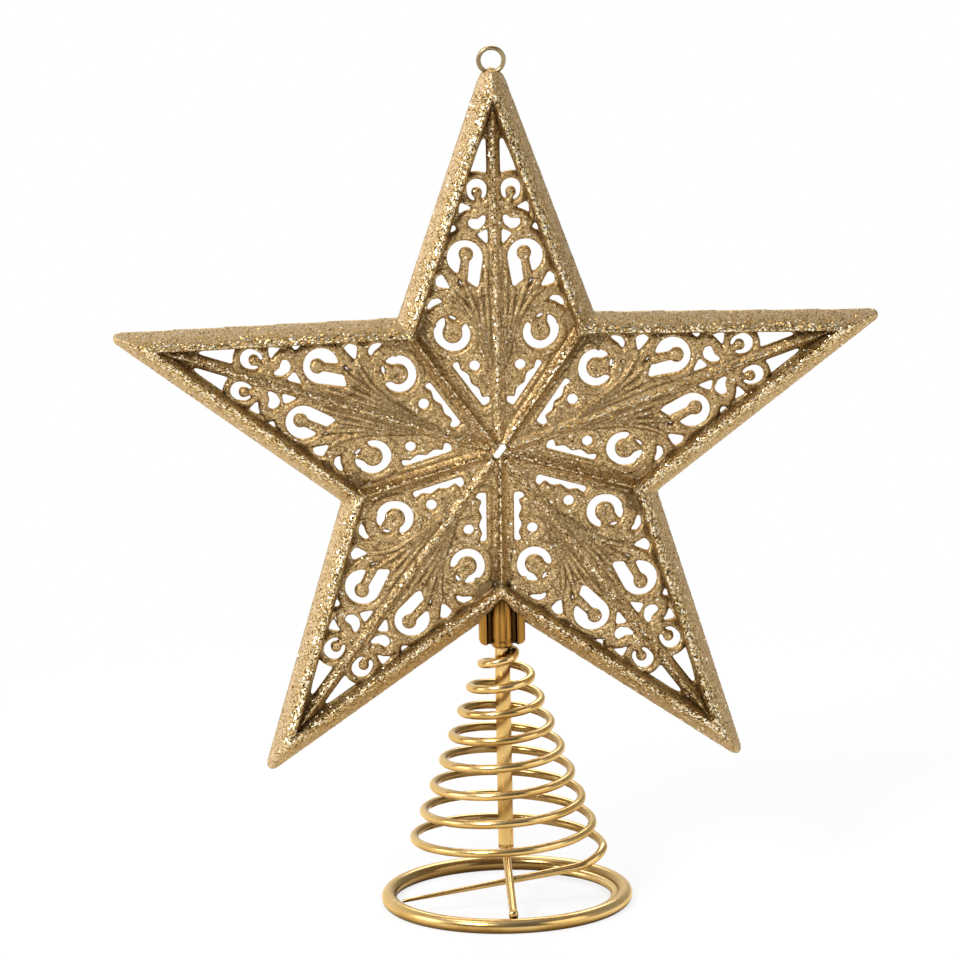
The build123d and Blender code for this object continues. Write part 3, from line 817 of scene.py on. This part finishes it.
def cutSheet(field, xs, ys):
    # the part of a grid that lies below zero, with its border on the zero line
    inside = field < 0
    points = []
    corner = -np.ones(field.shape, dtype=int)
    for i, j in zip(*np.nonzero(inside)):
        corner[i, j] = len(points)
        points.append((xs[i], ys[j]))
    crossings = {}
    least = panel["leastCut"]

    def crossing(a, b):
        low, high = min(a, b), max(a, b)
        if (low, high) not in crossings:
            share = float(np.clip(field[low] / (field[low] - field[high]), least, 1 - least))
            x = xs[low[0]] + (xs[high[0]] - xs[low[0]]) * share
            y = ys[low[1]] + (ys[high[1]] - ys[low[1]]) * share
            crossings[low, high] = len(points)
            points.append((x, y))
        return crossings[low, high]

    touched = inside[:-1, :-1] | inside[1:, :-1] | inside[1:, 1:] | inside[:-1, 1:]
    faces = []
    for i, j in zip(*np.nonzero(touched)):
        ring = [(i, j), (i + 1, j), (i + 1, j + 1), (i, j + 1)]
        face = []
        for here, ahead in zip(ring, ring[1:] + ring[:1]):
            if inside[here]:
                face.append(int(corner[here]))
            if inside[here] != inside[ahead]:
                face.append(crossing(here, ahead))
        faces.append(face)
    return np.array(points), faces


def panelSheet():
    inset = star["rimWidth"] - panel["lap"]
    reach = insetReach(star["cornerReach"], inset) * math.sin(halfAngle) + panel["margin"]
    xs = np.arange(-reach, reach + panel["step"], panel["step"])
    ys = np.arange(0, insetReach(star["tipReach"], inset) + panel["margin"], panel["step"])
    across, along = np.meshgrid(xs, ys, indexing="ij")
    flat, faces = cutSheet(sheetField(across, along), xs, ys)
    front, back = panelHeights(flat[:, 0], flat[:, 1])
    count = len(flat)
    directed = set()
    for face in faces:
        directed.update(zip(face, face[1:] + face[:1]))
    walls = [(b, a, a + count, b + count) for a, b in directed if (b, a) not in directed]
    walls.sort()
    backs = [[point + count for point in reversed(face)] for face in faces]
    return flat, front, back, faces + backs + walls


def starPanels(material):
    flat, front, back, faces = panelSheet()
    paintedShade = panelPaintedShade(np.abs(flat[:, 0]), flat[:, 1])
    onRib = rounded(np.abs(flat[:, 0]), panel["ribWidth"] / 2)
    sparkle = panel["sparkle"] + (panel["ribSparkle"] - panel["sparkle"]) * onRib
    nodes = ["panel_top", "panel_left", "panel_lower_left", "panel_lower_right", "panel_right"]
    for arm, node in enumerate(nodes):
        across, up = turned(flat, 2 * halfAngle * arm)
        points = np.concatenate([np.stack([across, -height, up], axis=1) for height in (front, back)])
        piece = meshObject("scrollwork_" + node, points, faces)
        pointValues(piece, "rimInset", np.full(len(points), star["rimWidth"]))
        pointValues(piece, "sparkle", np.tile(sparkle, 2))
        # painted shade along the grooves, on the front only
        pointValues(piece, "groove", np.concatenate([paintedShade, np.zeros(len(flat))]))
        dress(piece, "star", node, material)
    print("panels", len(flat), "points each side,", len(faces), "faces")


# Round wire along a path, turned pieces and beads
capSwings = (0.45, 0.85, 1.2)  # rings of a rounded wire end
axisGap = 0.02  # turned pieces keep this hole on their axis


def tubeMesh(path, radii, sides=18, closed=False):
    path = np.asarray(path, dtype=float)
    radii = np.broadcast_to(np.asarray(radii, dtype=float), (len(path),))
    if closed:
        heading = np.roll(path, -1, axis=0) - np.roll(path, 1, axis=0)
    else:
        heading = np.gradient(path, axis=0)
    heading /= np.linalg.norm(heading, axis=1)[:, None]
    side = np.cross(heading[0], (0.0, 0.0, 1.0))
    if np.linalg.norm(side) < 0.1:  # the path starts upright
        side = np.cross(heading[0], (1.0, 0.0, 0.0))
    side /= np.linalg.norm(side)
    rows = []
    angles = np.linspace(0, 2 * math.pi, sides, endpoint=False)
    for place, way, radius in zip(path, heading, radii):
        side = side - way * (side @ way)
        side /= np.linalg.norm(side)
        other = np.cross(way, side)
        rows.append(place + radius * (np.cos(angles)[:, None] * side + np.sin(angles)[:, None] * other))
    rings = len(rows)
    order = list(range(rings))
    if closed:
        order.append(0)
    else:  # rounded ends
        for end, sign in ((0, -1), (rings - 1, 1)):
            centre, way = path[end], heading[end] * sign * radii[end]
            for swing in capSwings:
                rows.append(centre + (rows[end] - centre) * math.cos(swing) + way * math.sin(swing))
        caps = len(capSwings)
        order = [*reversed(range(rings, rings + caps)), *order, *range(rings + caps, rings + 2 * caps)]
    return np.concatenate(rows), rowFaces(order, sides, capped=not closed)


def innerSide(points, path, sides, radius):
    # how far a tube's points lie on the side towards the stem, from 0 to 1
    middle = np.hypot(*np.asarray(path)[:, :2].T)
    rows = np.asarray(points)[: len(middle) * sides].reshape(len(middle), sides, 3)
    inward = (middle[:, None] - np.hypot(rows[:, :, 0], rows[:, :, 1])) / radius
    values = np.zeros(len(points))
    values[: rows.shape[0] * sides] = blend(inward, *wire["innerSide"]).ravel()
    return values


def joinMeshes(*parts):
    points, faces, start = [], [], 0
    for somePoints, someFaces in parts:
        points.append(np.asarray(somePoints))
        faces += [tuple(start + index for index in face) for face in someFaces]
        start += len(somePoints)
    return np.concatenate(points), faces


def latheMesh(profile, sides=40):
    # a closed profile of radius and height, turned about the stem's axis
    angles = np.linspace(0, 2 * math.pi, sides, endpoint=False)
    count = len(profile)
    points = [(r * math.cos(a), r * math.sin(a), z) for a in angles for r, z in profile]
    faces = []
    for turn in range(sides):
        for step in range(count):
            here, ahead = turn * count, ((turn + 1) % sides) * count
            faces.append((here + step, ahead + step, ahead + (step + 1) % count, here + (step + 1) % count))
    return np.array(points), faces


bead = {"radius": 1.35, "rows": 12, "sides": 20, "square": 0.75, "shrink": 0.93}


def beadMesh(centre):
    # a squarish nub
    rows, sides = bead["rows"], bead["sides"]
    points = []
    for row in range(1, rows):
        rise = math.pi * row / rows - math.pi / 2
        for side in range(sides):
            swing = 2 * math.pi * side / sides
            way = np.array(
                [math.cos(rise) * math.cos(swing), math.cos(rise) * math.sin(swing), math.sin(rise)]
            )
            way = np.sign(way) * np.abs(way) ** bead["square"]
            points.append(centre + bead["radius"] * way * bead["shrink"])
    return np.array(points), rowFaces(range(rows - 1), sides)


# Foot: base ring with its lapped wire end, strut and stem
foot = {
    "ringRadius": 30.8,
    "ringWire": 2.0,
    "ringHeight": 1.8,
    "ringSides": 24,
    "ringPoints": 192,
    "lapWire": 1.2,
    "lapFrom": (-48.0, 1.7),  # angle and inset from the ring
    "lapTo": (57.0, 5.0),
    "lapPoints": 80,
    "stemRadius": 2.0,
    "stemFoot": 14.4,
    "stemTop": 82.5,
    "stemEase": 0.3,
    "stemRows": (0.02, 0.98, 24),  # first, last and count, as shares of its length
    "strutRadius": 1.05,
    "strutEntry": 8.0,
    "strutKnee": 1.2,
    "strutBend": 1.4,
    "strutLanding": -90.0,
    "strutPoints": (8, 14, 24),  # inside the stem, in the bend and below it
    "boreGap": 0.05,
    "boreEase": 0.1,
    "seatGap": 0.1,
}


def polar(radius, angle, height):
    swing = math.radians(angle)
    return np.array([radius * math.cos(swing), radius * math.sin(swing), height])


def onRing(angle, radius):
    # where a wire of this radius lies on the inner upper shoulder of the base ring
    shoulder = (foot["ringWire"] + radius + foot["seatGap"]) * math.cos(math.pi / 4)
    return polar(foot["ringRadius"] - shoulder, angle, foot["ringHeight"] + shoulder)


def arcFrom(start, heading, end, count):
    # points of the flat arc that leaves start along heading and reaches end
    chord = end - start
    side = np.array([-heading[1], heading[0], 0.0])
    radius = (chord @ chord) / (2 * (chord @ side))
    centre = start + side * radius
    sweep = 2 * math.atan2(chord @ side, chord @ heading)
    angles = np.linspace(0, sweep, count)[:, None]
    return centre - side * radius * np.cos(angles) + heading * radius * np.sin(angles)


def baseRing(material):
    around = np.linspace(0, 360, foot["ringPoints"], endpoint=False)
    circle = [polar(foot["ringRadius"], angle, foot["ringHeight"]) for angle in around]
    ring = tubeMesh(circle, foot["ringWire"], foot["ringSides"], closed=True)
    paintedInnerShade = innerSide(ring[0], circle, foot["ringSides"], foot["ringWire"])
    start, end = (
        polar(foot["ringRadius"] - inset, angle, foot["ringHeight"])
        for angle, inset in (foot["lapFrom"], foot["lapTo"])
    )
    heading = polar(1, foot["lapFrom"][0] + 90, 0)
    lap = tubeMesh(arcFrom(start, heading, end, foot["lapPoints"]), foot["lapWire"])
    points, faces = joinMeshes(ring, lap)
    points[:, 2] = np.maximum(points[:, 2], 0)  # ground flat underneath
    piece = addPiece("baseRing", (points, faces), "base", "base_ring", material)
    # painted shade on the ring's inner side
    pointValues(piece, "paintedInnerShade", np.pad(paintedInnerShade, (0, len(points) - len(paintedInnerShade))))


def footStrut(material):
    head = np.array([0, 0, foot["stemFoot"] + foot["strutEntry"]])
    knee = np.array([0, 0, foot["stemFoot"] - foot["strutKnee"]])
    landing = onRing(foot["strutLanding"], bead["radius"])
    away = (landing - knee) / np.linalg.norm(landing - knee)
    down = np.array([0, 0, -1.0])
    setback = foot["strutBend"] * math.tan(math.acos(away @ down) / 2)
    inStem, inBend, below = foot["strutPoints"]
    bend = bowPoints(knee - down * setback, knee, knee + away * setback, inBend)
    lower = bend[-1] + (landing - bend[-1]) * np.linspace(0, 1, below)[1:, None]
    path = np.concatenate([np.linspace(head, bend[0], inStem)[:-1], bend, lower])
    mesh = joinMeshes(tubeMesh(path, foot["strutRadius"]), beadMesh(landing))
    addPiece("footStrut", mesh, "base", "foot_strut", material)


def centreStem(material):
    radius, bore = foot["stemRadius"], foot["strutRadius"] + foot["boreGap"]
    low, high = foot["stemFoot"], foot["stemTop"]
    boreTop = low + foot["strutEntry"] + foot["boreGap"]
    ease, boreEase = foot["stemEase"], foot["boreEase"]
    profile = [(axisGap, high), (radius - ease, high), (radius, high - ease)]
    profile += [(radius, high + (low - high) * share) for share in np.linspace(*foot["stemRows"])]
    profile += [(radius, low + ease), (radius - ease, low), (bore + boreEase, low), (bore, low + boreEase)]
    profile += [(bore, boreTop), (axisGap, boreTop)]
    addPiece("centreStem", latheMesh(profile[::-1]), "base", "stem", material)


# Spring: a cone of round wire that closes on the stem, with a thin straight tail to the ring
spring = {
    "wire": 1.15,
    "turns": 8.0,
    "footRadius": 25.3,
    "footHeight": 14.2,
    "headRadius": 5.0,
    "headHeight": 67.35,
    "bow": 0.08,
    "curl": 0.7,
    "wrap": 0.2,  # the end goes on round the stem
    "tailEnd": 0.45,
    "tailLanding": 199.0,
    "tailLead": (-8.0, -8.0, -3.6),
    "tailPoints": 30,
    "leadPull": 1.15,  # how fully the tail swings into the coil
    "perTurn": 72,
    "sides": 18,
}


def springPoint(turn):
    share = np.minimum(turn / spring["turns"], 1)
    climb = share + spring["bow"] * share * (1 - share)
    cone = spring["footRadius"] + (spring["headRadius"] - spring["footRadius"]) * climb
    drawnIn = np.clip((turn - spring["turns"] + spring["curl"]) / spring["curl"], 0, 1)
    hug = foot["stemRadius"] + spring["wire"] + foot["seatGap"]
    radius = cone + (hug - cone) * drawnIn
    height = spring["footHeight"] + (spring["headHeight"] - spring["footHeight"]) * climb
    angle = 2 * math.pi * turn
    return np.stack([radius * np.cos(angle), radius * np.sin(angle), height], axis=-1)


def coneSpring(material):
    end = spring["turns"] + spring["wrap"]
    coil = springPoint(np.linspace(0, end, round(end * spring["perTurn"]) + 1))
    tailFoot = onRing(spring["tailLanding"], spring["tailEnd"])
    tailHead = coil[0] + np.array(spring["tailLead"])
    leadOut = (tailHead - tailFoot) / np.linalg.norm(tailHead - tailFoot)
    leadIn = (coil[1] - coil[0]) / np.linalg.norm(coil[1] - coil[0])
    reach = spring["leadPull"] * np.linalg.norm(coil[0] - tailHead)
    shares = np.linspace(0, 1, spring["tailPoints"])[:, None]
    joint = (
        (2 * shares**3 - 3 * shares**2 + 1) * tailHead
        + (shares**3 - 2 * shares**2 + shares) * leadOut * reach
        + (3 * shares**2 - 2 * shares**3) * coil[0]
        + (shares**3 - shares**2) * leadIn * reach
    )
    tail = np.linspace(tailFoot, tailHead, spring["tailPoints"])
    path = np.concatenate([tail[:-1], joint[:-1], coil])
    radii = np.full(len(path), spring["wire"])
    radii[: len(tail) - 1] = np.linspace(spring["tailEnd"], spring["wire"], len(tail))[:-1]
    mesh = tubeMesh(path, radii, spring["sides"])
    piece = addPiece("coneSpring", mesh, "base", "cone_spring", material)
    # painted shade on the coil's inner side
    pointValues(piece, "paintedInnerShade", innerSide(mesh[0], path, spring["sides"], spring["wire"]))


# Hanging eye on the top tip
eye = {"radius": 3.25, "wire": 0.6, "sides": 16, "loopPoints": 64, "shankPoints": 8}


def hangingEye(material):
    low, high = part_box("hanging_eye")
    radius, thick, sides = eye["radius"], eye["wire"], eye["sides"]
    centre = high.z / mm - thick - radius
    around = np.linspace(0, 2 * math.pi, eye["loopPoints"], endpoint=False)
    loop = [(radius * math.cos(angle), 0, centre + radius * math.sin(angle)) for angle in around]
    shank = np.linspace((0, 0, low.z / mm + thick), (0, 0, centre - radius), eye["shankPoints"])
    mesh = joinMeshes(tubeMesh(loop, thick, sides, closed=True), tubeMesh(shank, thick, sides))
    addPiece("hangingEye", mesh, "star", "hanging_eye", material)


# Socket sleeve on the stem, and the clip that holds it in the star
sleeve = {
    "radius": 2.8,
    "bore": 2.05,
    "foot": 68.8,
    "top": 84.0,
    "cap": 1.5,
    "lip": 0.35,
    "groove": (1.4, 1.6, 1.9, 2.1),  # a shallow ring above the lip
    "grooveDepth": 0.12,
}


def socketSleeve(material):
    radius, bore, low, high = (sleeve[key] for key in ("radius", "bore", "foot", "top"))
    lip, cap = sleeve["lip"], high - sleeve["cap"]
    profile = [(bore, low + lip), (bore + lip, low), (radius - lip, low), (radius, low + lip)]
    depths = (0, sleeve["grooveDepth"], sleeve["grooveDepth"], 0)
    profile += [(radius - depth, low + lip + rise) for depth, rise in zip(depths, sleeve["groove"])]
    profile += [(radius, high - lip), (radius - lip, high), (axisGap, high), (axisGap, cap), (bore, cap)]
    addPiece("socketSleeve", latheMesh(profile), "sleeve", "socket_sleeve", material)


clip = {
    "voxel": 0.14,
    "rounds": 3,
    "earGrow": 0.5,  # the ears reach out this much further
    "bow": (80.0, 77.5),  # from nothing to full between these heights
    "channel": (1.2, 0.8),  # beside the sleeve, from the ear down to its floor
    "channelDepth": 0.6,  # share of the clip's depth
}


def gripClip(material):
    piece = softenedCopy("grip_clip", "gripClip", clip["voxel"], clip["rounds"])
    points = meshPoints(piece)
    out = np.abs(points[:, 0]) - sleeve["radius"]
    low = blend(points[:, 2], *clip["bow"])
    points[:, 0] += np.sign(points[:, 0]) * clip["earGrow"] * low * np.clip(out / out.max(), 0, 1)
    inChannel = low * blend(np.abs(points[:, 0]) - sleeve["radius"], *clip["channel"])
    back = points[:, 1].max()
    points[:, 1] = back - (back - points[:, 1]) * (1 - clip["channelDepth"] * inChannel)
    movePoints(piece, points)
    # painted shade in the channel beside the sleeve
    pointValues(piece, "groove", inChannel)
    dress(piece, "star", "grip_clip", material)
    print("clip", len(points), "points")


# Floor, light and camera
studio = {
    "floorSize": 6.0,
    "floorPaint": (0.9, 0.9, 0.9),
    "floorGlow": 0.82,  # how much of the floor's white is its own
    "clear": (0.12, 0.3),  # the shadow fades between these distances from the object
    "ambient": 0.5,
    "front": (-0.85, 0.1, 0.18),  # the dark side of the room, in front of the object: limits and brightness
    "right": (-0.5, 0.8, 0.4),
    "roof": (0.1, 0.9, 0.6),
    "lamps": [  # name, place, size and watts
        ("key", (-0.75, -0.95, 1.05), 0.4, 16.0),
        ("left", (-1.5, -0.2, 0.5), 0.8, 4.2),
        ("top", (-0.55, -0.12, 1.5), 0.6, 2.2),
        ("fill", (1.0, -0.7, 0.5), 0.9, 3.5),
        ("back", (0.1, 0.9, 1.1), 0.9, 7.0),
    ],
}
white = (1.0, 1.0, 1.0)


def makeWorld():
    world = bpy.data.worlds.new("studio")
    bpy.context.scene.world = world
    world.use_nodes = True
    tree = world.node_tree
    tree.nodes.clear()
    # rays that see the room as it is: from the camera, by reflection or by transmission
    rays = addNode(tree, "ShaderNodeLightPath").outputs
    seen = mathNode(tree, "MAXIMUM", rays["Is Camera Ray"], rays["Is Glossy Ray"])
    seen = mathNode(tree, "MAXIMUM", seen, rays["Is Transmission Ray"])
    way = addNode(tree, "ShaderNodeTexCoord").outputs["Generated"]
    sides = addNode(tree, "ShaderNodeSeparateXYZ", inputs={"Vector": way}).outputs
    low, high, shade = studio["front"]
    level = rangeNode(tree, sides["Y"], low, high, shade, 1.0)
    for side, wall in (("X", "right"), ("Z", "roof")):
        low, high, shade = studio[wall]
        level = mathNode(tree, "MULTIPLY", level, rangeNode(tree, sides[side], low, high, 1.0, shade))
    level = mathNode(tree, "MAXIMUM", level, rays["Is Camera Ray"])
    strength = mixValue(tree, seen, studio["ambient"], level)
    light = addNode(tree, "ShaderNodeBackground", inputs={"Color": opaque(white), "Strength": strength})
    output = addNode(tree, "ShaderNodeOutputWorld")
    tree.links.new(light.outputs[0], output.inputs["Surface"])


def makeFloor():
    half = studio["floorSize"] / 2 / mm
    corners = [(-half, -half, 0), (half, -half, 0), (half, half, 0), (-half, half, 0)]
    floor = meshObject("floor", corners, [(0, 1, 2, 3)])
    material, tree = newMaterial("paleFloor")
    fromCamera = addNode(tree, "ShaderNodeLightPath").outputs["Is Camera Ray"]
    far = addNode(
        tree, "ShaderNodeVectorMath", {"operation": "LENGTH"}, {0: placeNode(tree)}
    ).outputs["Value"]
    glow = rangeNode(tree, far, *studio["clear"], studio["floorGlow"], 1.0)
    share = mathNode(tree, "MULTIPLY", glow, fromCamera)
    paint = addNode(tree, "ShaderNodeBsdfDiffuse", inputs={"Color": opaque(studio["floorPaint"])})
    shine = addNode(tree, "ShaderNodeEmission", inputs={"Color": opaque(white), "Strength": 1.0})
    inputs = {0: share, 1: paint.outputs[0], 2: shine.outputs[0]}
    finishMaterial(tree, addNode(tree, "ShaderNodeMixShader", inputs=inputs))
    floor.data.materials.append(material)


def makeLamps():
    aim = Vector((0, 0, star["height"] * mm))
    for name, place, size, watts in studio["lamps"]:
        data = bpy.data.lights.new(name, "AREA")
        data.size = size
        data.energy = watts
        made = bpy.data.objects.new(name, data)
        made.location = place
        made.rotation_mode = "QUATERNION"
        made.rotation_quaternion = (aim - made.location).to_track_quat("-Z", "Y")
        bpy.context.scene.collection.objects.link(made)


camera = {
    "azimuth": -3.2,
    "elevation": 14.0,
    "roll": -1.12,
    "distance": 3600.0,
    "aim": (0.0, 0.0, 115.0),
    "offCentre": (-4.9, -1.6),  # the picture's middle from the aim, to the right and up
    "pixelsPerMm": 3.857,
    "picture": 960.0,
    "sensor": 36.0,
    "clip": (0.1, 20.0),
}


def makeCamera():
    data = bpy.data.cameras.new("camera")
    data.sensor_width = camera["sensor"]
    data.lens = camera["pixelsPerMm"] * camera["distance"] / camera["picture"] * camera["sensor"]
    data.clip_start, data.clip_end = camera["clip"]
    made = bpy.data.objects.new("camera", data)
    turn, rise = math.radians(camera["azimuth"]), math.radians(camera["elevation"])
    back = Vector((math.sin(turn) * math.cos(rise), -math.cos(turn) * math.cos(rise), math.sin(rise)))
    roll = Quaternion((0, 0, 1), math.radians(camera["roll"]))
    made.rotation_mode = "QUATERNION"
    made.rotation_quaternion = (-back).to_track_quat("-Z", "Y") @ roll
    offset = Vector((*camera["offCentre"], camera["distance"]))
    made.location = (Vector(camera["aim"]) + made.rotation_quaternion @ offset) * mm
    bpy.context.scene.collection.objects.link(made)
    bpy.context.scene.camera = made


def buildScene():
    glitterMaterial = glitterGold()
    wireMaterial = wireGold("wireGold", wire)
    eyeMaterial = wireGold("antiqueBrass", antique)
    socketMaterial = socketGold()
    print("materials made")
    starFrames(glitterMaterial)
    starPanels(glitterMaterial)
    hangingEye(eyeMaterial)
    socketSleeve(socketMaterial)
    gripClip(socketMaterial)
    baseRing(wireMaterial)
    footStrut(wireMaterial)
    centreStem(wireMaterial)
    coneSpring(wireMaterial)
    print("pieces made")
    makeWorld()
    makeFloor()
    makeLamps()
    makeCamera()
    bpy.context.scene.view_settings.view_transform = "Standard"
    print("studio ready")


buildScene()
